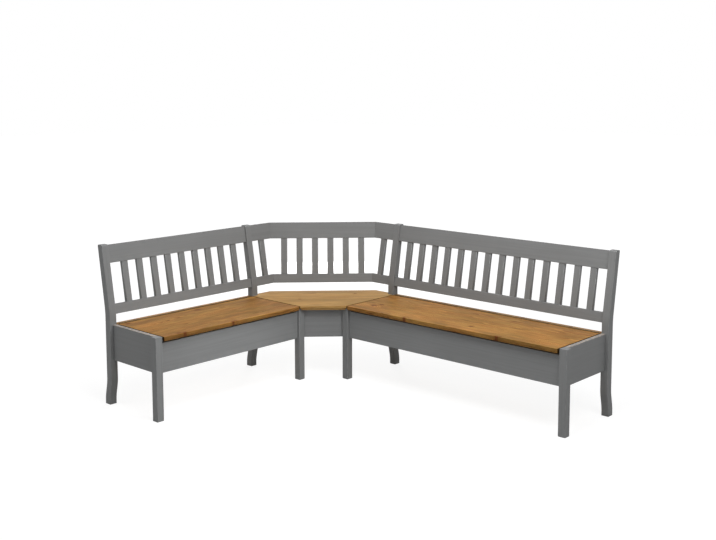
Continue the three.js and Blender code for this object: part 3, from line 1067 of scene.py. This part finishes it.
@dataclass
class SeatBoard:
    """A hinged seat board with its battens, their screws and its hinge leaf."""

    side: Side
    matrix: Matrix
    knots: tuple[Knot, ...]
    seed: float
    end_gap: float = 0.005
    # Painted shade on the board's front face and lip.
    front_shade: float = 0.36
    fewest_battens: int = 3
    batten_reach: float = 0.42
    batten_width: float = 0.048
    batten_thickness: float = 0.016
    batten_arris: float = 0.002
    batten_clear_of_front: float = 0.062
    batten_clear_of_hinge: float = 0.022
    screw_rows: int = 4
    screw_stagger: float = 0.18
    screw_radius: float = 0.0042
    screw_taper: float = 0.55
    screw_depth: float = 0.0021
    screw_rim: float = 0.0021
    screw_recess: float = 0.00105
    screw_sunk: float = 0.000504
    screw_segments: int = 20

    def finish(self) -> StainedPine:
        """This board's own pine."""
        return StainedPine(f"{self.side.value}_seat_pine", self.knots, self.seed)

    def span(self) -> tuple[Vector, Vector]:
        """Measures the board in its bench's frame.

        Returns:
            Its lowest and highest corners.
        """
        low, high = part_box(f"{self.side.value}_seat_lid")
        into = self.matrix.inverted()
        corners = (into @ low, into @ high)
        lowest = Vector(map(min, *corners))
        highest = Vector(map(max, *corners))
        return lowest, highest

    def board(self) -> None:
        """The seat board, its front edge rounded over."""
        low, high = self.span()
        gap = Vector((self.end_gap, 0.0, 0.0))
        mesh = block(low + gap, high - gap)
        front = [e for e in mesh.edges if all(v.co.y < low.y + WELD for v in e.verts)]
        rounded(mesh, longer_edges(front, 0, SIZES.seat_nosing), SIZES.seat_nosing, steps=5)
        rounded(mesh, sharp_edges(mesh), SIZES.seat_arris, steps=2)
        mark_stain_and_shade(mesh, self.front_shade)
        node = f"{self.side.value}_seat_lid"
        piece = Piece(node, mesh, self.finish(), self.body(), (node,))
        piece.place(self.matrix, Grain.ALONG, Vector((0.0, 0.0, high.z)))

    def lip(self) -> None:
        """The strip under the board's front edge."""
        low, high = self.span()
        corner = Vector((low.x + self.end_gap, low.y, low.z - SIZES.lip_drop))
        far = Vector((high.x - self.end_gap, low.y + SIZES.lip_depth, low.z))
        mesh = front_lip(corner, far, self.front_shade)
        piece = Piece(f"{self.side.value}_lid_front_lip", mesh, self.finish(), self.body())
        piece.place(self.matrix, Grain.ALONG, Vector((0.0, 0.0, high.z)))

    def body(self) -> str:
        """The body that the board swings on."""
        return f"{self.side.value}_lid"

    def battens(self) -> None:
        """Battens screwed across the underside, which keep the board flat."""
        low, high = self.span()
        count = max(self.fewest_battens, round((high.x - low.x) / self.batten_reach))
        front = low.y + self.batten_clear_of_front
        rear = high.y - self.batten_clear_of_hinge
        pitch = (high.x - low.x) / count
        for i in range(count):
            middle = low.x + (i + 0.5) * pitch
            corner = Vector((middle - self.batten_width / 2, front, low.z - self.batten_thickness))
            far = Vector((middle + self.batten_width / 2, rear, low.z))
            mesh = block(corner, far)
            rounded(mesh, sharp_edges(mesh), self.batten_arris, steps=2)
            piece = Piece(f"{self.side.value}_lid_batten_{i + 1}", mesh, self.finish(), self.body())
            piece.place(self.matrix, Grain.ACROSS)
            self.screws(i, middle, front, rear, corner.z)

    def screws(self, batten: int, middle: float, front: float, rear: float, under: float) -> None:
        """Countersunk screw heads in one batten, as one piece of separate heads.

        Args:
            batten: the batten's number, from 0.
            middle: its middle along the board.
            front: its front end.
            rear: its rear end.
            under: its underside.
        """
        mesh = bmesh.new()
        for row in range(self.screw_rows):
            along = front + (rear - front) * (row + 0.5) / self.screw_rows
            offset = self.batten_width * (self.screw_stagger if row % 2 else -self.screw_stagger)
            self.screw_head(mesh, Vector((middle + offset, along, under)))
        piece = Piece(f"{self.side.value}_lid_screws_{batten + 1}", mesh, ZINC, self.body())
        piece.place(self.matrix, Grain.UP)

    def screw_head(self, mesh: BMesh, seat: Vector) -> None:
        """Adds a countersunk head with a round recess, its face down.

        Args:
            mesh: the batten's screws so far.
            seat: where the head sits.
        """
        head = bmesh.ops.create_cone(
            mesh, cap_ends=True, segments=self.screw_segments, radius1=self.screw_radius,
            radius2=self.screw_radius * self.screw_taper, depth=self.screw_depth,
        )
        verts = head["verts"]
        faces = {face for vert in verts for face in vert.link_faces}
        cap = min(faces, key=lambda face: face.calc_center_median().z)
        bmesh.ops.inset_individual(mesh, faces=[cap], thickness=self.screw_rim, use_even_offset=True)
        bmesh.ops.translate(mesh, vec=Vector((0.0, 0.0, self.screw_recess)), verts=list(cap.verts))
        grown = {vert for face in faces for vert in face.verts} | set(cap.verts)
        bmesh.ops.translate(mesh, vec=seat + Vector((0.0, 0.0, self.screw_sunk)), verts=list(grown))

    def hinge(self) -> None:
        """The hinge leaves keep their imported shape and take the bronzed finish."""
        for part in ("fixed_leaf", "lid_leaf"):
            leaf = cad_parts[f"{self.side.value}_hinge_{part}"]
            leaf.data.materials.clear()
            leaf.data.materials.append(mixed(BRONZED))
            log.info("%s keeps its packed shape", leaf.name)

    def build(self) -> None:
        """Makes the board and what is fixed to it."""
        self.board()
        self.lip()
        self.battens()
        self.hinge()


@dataclass
class Bench:
    """One chest bench: posts, legs, panels, back and seat."""

    side: Side
    matrix: Matrix
    length: float
    inner_on_left: bool
    slat_count: int
    end_gap: float
    knots: tuple[Knot, ...]
    seed: float
    strip_seed: float = 20.0
    floor_arris: float = 0.0006
    finger_gap: float = 0.018

    def posts_and_legs(self) -> None:
        """The four uprights."""
        ends = ("inner", "outer") if self.inner_on_left else ("outer", "inner")
        for end, start in zip(ends, (0.0, self.length - SIZES.post_width)):
            RearPost(f"{self.side.value}_rear_post_{end}", start).build(self.matrix)
            FrontLeg(f"{self.side.value}_front_leg_{end}").build()

    def chest(self) -> None:
        """The panels, the floor and the strip behind the lid."""
        name = self.side.value
        for end in ("inner", "outer"):
            panel = BoardCopy(f"{name}_end_panel_{end}", Grain.ACROSS, HIGHLIGHT_TOP_PAINT, highlight_top=True)
            panel.build(self.matrix)
        BoardCopy(f"{name}_front_panel", Grain.ALONG, lowered_top=self.finger_gap).build(self.matrix)
        BoardCopy(f"{name}_rear_panel", Grain.ALONG).build(self.matrix)
        BoardCopy(f"{name}_floor_board", Grain.ALONG, PLYWOOD, self.floor_arris).build(self.matrix)
        pine = StainedPine(f"{name}_strip_pine", seed=self.seed + self.strip_seed)
        BoardCopy(f"{name}_rear_strip", Grain.ALONG, pine, SIZES.seat_arris).build(self.matrix)

    def back(self) -> None:
        """The slatted back between the posts."""
        bay = self.length - 2 * SIZES.post_width
        names = [f"{self.side.value}_slat_{i + 1}" for i in range(self.slat_count)]
        BackStretch(
            name=self.side.value,
            upright=self.matrix,
            left=SIZES.post_width + SIZES.seam,
            right=self.length - SIZES.post_width - SIZES.seam,
            slat_places=slat_row(self.length / 2, bay, self.end_gap, self.slat_count),
            slat_names=names,
            slat_nodes=names,
            rail_nodes=(f"{self.side.value}_top_rail", f"{self.side.value}_bottom_rail"),
        ).build()

    def build(self) -> None:
        """Makes the bench."""
        self.posts_and_legs()
        self.chest()
        self.back()
        SeatBoard(self.side, self.matrix, self.knots, self.seed).build()


@dataclass
class CornerUnit:
    """The fixed corner: six-sided seat, apron, bearer and the back with its two wings."""

    setting: Setting
    knots: tuple[Knot, ...]
    seed: float = 31.0
    wing_run: float = 0.151
    wing_slat_inset: float = 0.094
    mitre: float = math.pi / 8
    centre_slats: int = 6
    centre_end_gap: float = 0.0492
    lip_half: float = 0.136
    # Painted shade on the corner seat's front face and lip.
    front_shade: float = 0.18

    @property
    def kink(self) -> float:
        """How far from the wall corner the rails' front faces turn, along either wall, at the bend."""
        return self.setting.corner_run - self.wing_run

    def centre(self) -> None:
        """The stretch of back across the corner."""
        cut = (self.kink + SIZES.rail_front) / math.sqrt(2)
        half = (self.kink - SIZES.rail_front) / math.sqrt(2)
        mitre_slope = math.tan(self.mitre)
        BackStretch(
            name="corner",
            upright=self.setting.across,
            front=cut,
            left=-half,
            right=half,
            left_slope=-mitre_slope,
            right_slope=mitre_slope,
            slat_places=slat_row(0.0, 2 * half, self.centre_end_gap, self.centre_slats),
            slat_names=[f"corner_slat_{i + 1}" for i in range(self.centre_slats)],
            slat_nodes=["corner_slat_comb"] * self.centre_slats,
            rail_nodes=("corner_top_rail", "corner_slat_comb"),
        ).build()

    def wing(self, side: Side) -> None:
        """Makes the short stretch in line with a bench.

        Args:
            side: that bench.
        """
        reach = self.wing_run - SIZES.seam
        mitre_slope = math.tan(self.mitre)
        is_left = side is Side.LEFT
        node = f"corner_{side.value}_wing"
        BackStretch(
            name=node,
            upright=self.setting.left_wing if is_left else self.setting.right,
            left=SIZES.seam if is_left else -reach,
            right=reach if is_left else -SIZES.seam,
            left_slope=0.0 if is_left else -mitre_slope,
            right_slope=mitre_slope if is_left else 0.0,
            slat_places=[self.wing_slat_inset if is_left else -self.wing_slat_inset],
            slat_names=[f"{node}_slat"],
            slat_nodes=[node],
            rail_nodes=(node, node),
        ).build()

    def seat(self) -> None:
        """The seat board, its front edge rounded over like the lids'."""
        across = self.setting.across
        mesh = packed_copy("corner_seat", across)
        nearest = min(vert.co.y for vert in mesh.verts)
        front = [e for e in sharp_edges(mesh) if all(v.co.y < nearest + WELD for v in e.verts)]
        level = [e for e in front if abs(e.verts[0].co.z - e.verts[1].co.z) < WELD]
        rounded(mesh, level, SIZES.seat_nosing, steps=5)
        rounded(mesh, sharp_edges(mesh), SIZES.seat_arris, steps=2)
        mark_stain_and_shade(mesh, self.front_shade)
        # Its upper front arris gets almost no painted highlight.
        pine = StainedPine(
            "corner_seat_pine", self.knots, self.seed, early=srgb(179, 142, 86), late=srgb(145, 101, 51),
            warm=0.97, figure=0.65, painted_arris_highlight=0.98,
        )
        piece = Piece("corner_seat", mesh, pine, replaces=("corner_seat",))
        piece.place(across, Grain.ALONG, Vector((0.0, 0.0, SIZES.seat_top)))
        under = SIZES.seat_top - SIZES.seat_thickness
        low = Vector((-self.lip_half, nearest, under - SIZES.lip_drop))
        high = Vector((self.lip_half, nearest + SIZES.lip_depth, under))
        mesh = front_lip(low, high, self.front_shade)
        lip = Piece("corner_seat_front_lip", mesh, pine)
        lip.place(across, Grain.ALONG, Vector((0.0, 0.0, SIZES.seat_top)))

    def build(self) -> None:
        """Makes the corner."""
        self.centre()
        self.wing(Side.LEFT)
        self.wing(Side.RIGHT)
        self.seat()
        BoardCopy("corner_apron", Grain.ALONG).build(self.setting.across)
        BoardCopy("corner_bearer", Grain.ALONG).build(self.setting.across)


@dataclass(frozen=True)
class Softbox:
    """A square lamp: where it hangs and the point that it faces, both from the wall corner.

    Its spread is in degrees. One that isn't mirrored doesn't show in varnish or metal.
    """

    name: str
    place: Place
    aim: Place
    size: float
    watts: float
    spread: float = 180.0
    mirrored: bool = True

    def hang(self, wall: Vector) -> None:
        """Makes the lamp.

        Args:
            wall: the wall corner.
        """
        data = bpy.data.lights.new(self.name, "AREA")
        data.spread = math.radians(self.spread)
        data.size = self.size
        data.energy = self.watts
        lamp = bpy.data.objects.new(self.name, data)
        place = Vector(self.place)
        facing = (Vector(self.aim) - place).to_track_quat("-Z", "Y").to_matrix().to_4x4()
        lamp.matrix_world = Matrix.Translation(wall + place) @ facing
        lamp.visible_camera = False
        lamp.visible_glossy = self.mirrored
        bpy.context.scene.collection.objects.link(lamp)


LAMPS = (
    Softbox("corner_softbox", (0.9, -0.9, 3.0), (0.9, -0.9, 0.0), 1.2, 27.0),
    Softbox("front_softbox", (2.0, -2.0, 3.0), (0.6, -0.6, 0.4), 0.8, 34.0),
    Softbox("low_softbox", (1.75, -1.15, 1.15), (0.47, -1.32, 0.33), 0.6, 1.0, 60.0),
    Softbox("right_softbox", (3.4, -1.0, 2.4), (0.5, -1.0, 0.4), 1.2, 32.0),
    Softbox("left_softbox", (-1.0, -3.6, 1.5), (0.3, -1.8, 0.5), 1.0, 9.0),
    Softbox("rear_softbox", (-1.5, 1.5, 3.0), (0.2, -0.2, 0.4), 1.4, 22.0),
    Softbox("back_softbox", (-2.4, 2.4, 0.55), (0.0, 0.0, 0.5), 0.9, 55.0, mirrored=False),
)


@dataclass
class Studio:
    """Pale floor and backdrop, soft lamps, and the camera at the photograph's angle."""

    setting: Setting
    camera_from_wall: Place = (4.88002, -4.91087, 1.83106)
    yaw: float = math.radians(42.76015)
    pitch: float = math.radians(6.27394)
    roll: float = math.radians(-0.10219)
    image_width: float = 716.0
    image_height: float = 540.0
    focal_pixels: float = 1000.48
    axis_row: float = 195.0
    sensor: float = 36.0
    world_level: float = 0.24
    floor_size: float = 60.0
    floor_grey: float = 0.60
    shadow_share: float = 0.20
    lift: Range = (2.2, 4.5, 0.88, 1.0)

    def camera(self) -> None:
        """The camera."""
        data = bpy.data.cameras.new("photo_camera")
        data.sensor_width = self.sensor
        data.lens = self.focal_pixels / self.image_width * self.sensor
        data.shift_y = (self.axis_row - self.image_height / 2) / self.image_width
        camera = bpy.data.objects.new("photo_camera", data)
        turn = Matrix.Rotation(self.yaw, 4, "Z") @ Matrix.Rotation(math.pi / 2 - self.pitch, 4, "X")
        turn = turn @ Matrix.Rotation(self.roll, 4, "Z")
        place = self.setting.wall + Vector(self.camera_from_wall)
        camera.matrix_world = Matrix.Translation(place) @ turn
        bpy.context.scene.collection.objects.link(camera)
        bpy.context.scene.camera = camera

    def floor(self) -> None:
        """A wide pale floor that shows white with a soft shadow, and throws its light back on the object."""
        mesh = bmesh.new()
        bmesh.ops.create_grid(mesh, x_segments=1, y_segments=1, size=self.floor_size / 2)
        data = bpy.data.meshes.new("studio_floor")
        mesh.to_mesh(data)
        mesh.free()
        floor = bpy.data.objects.new("studio_floor", data)
        bpy.context.scene.collection.objects.link(floor)
        g = Graph("studio_floor")
        seen = g.seen()
        lift = g.remap(g.vector("LENGTH", g.place()), self.lift)
        diffuse = g.node("BsdfDiffuse", g.mix(seen, (self.floor_grey,) * 3, (self.shadow_share,) * 3))
        glow = g.node("Emission", Strength=g.times(seen, lift))
        g.feed(g.output, g.node("AddShader", diffuse.outputs[0], glow.outputs[0]).outputs[0])
        data.materials.append(g.owner)

    def world(self) -> None:
        """Even light from all round, white where it is seen."""
        g = Graph("studio_world", is_world=True)
        strength = g.remap(g.seen(), (0.0, 1.0, self.world_level, 1.0))
        g.feed(g.output, g.node("Background", (1.0, 1.0, 1.0), strength).outputs[0])
        bpy.context.scene.world = g.owner

    def build(self) -> None:
        """Sets the studio up."""
        bpy.context.scene.view_settings.view_transform = "Standard"
        self.camera()
        self.floor()
        self.world()
        for lamp in LAMPS:
            lamp.hang(self.setting.wall)
        log.info("studio is up")


LEFT_KNOTS = (
    Knot(0.095, -0.082, 0.012),
    Knot(0.160, -0.474, 0.010),
    Knot(0.192, -0.484, 0.009),
    Knot(0.540, -0.484, 0.008),
    Knot(0.562, -0.480, 0.008),
    Knot(0.588, -0.094, 0.015),
)
RIGHT_KNOTS = (
    Knot(0.159, -0.360, 0.013),
    Knot(0.182, -0.316, 0.011),
    Knot(0.929, -0.398, 0.010),
    Knot(0.510, -0.488, 0.007),
    Knot(1.166, -0.486, 0.008),
    Knot(1.186, -0.480, 0.006),
)
CORNER_KNOTS = (
    Knot(-0.15, -0.62, 0.008),
    Knot(0.21, -0.47, 0.007),
)


def main() -> None:
    """Builds the studio, the benches and the corner."""
    logging.basicConfig(level=logging.INFO, format="%(name)s: %(message)s")
    setting = Setting()
    Studio(setting).build()
    Bench(
        Side.LEFT, setting.left, setting.left_length, inner_on_left=False,
        slat_count=9, end_gap=0.0855, knots=LEFT_KNOTS, seed=3.0,
    ).build()
    Bench(
        Side.RIGHT, setting.right, setting.right_length, inner_on_left=True,
        slat_count=14, end_gap=0.06925, knots=RIGHT_KNOTS, seed=11.0,
    ).build()
    CornerUnit(setting, CORNER_KNOTS).build()
    log.info("packed and visual boxes written")


if __name__ == "__main__":
    main()
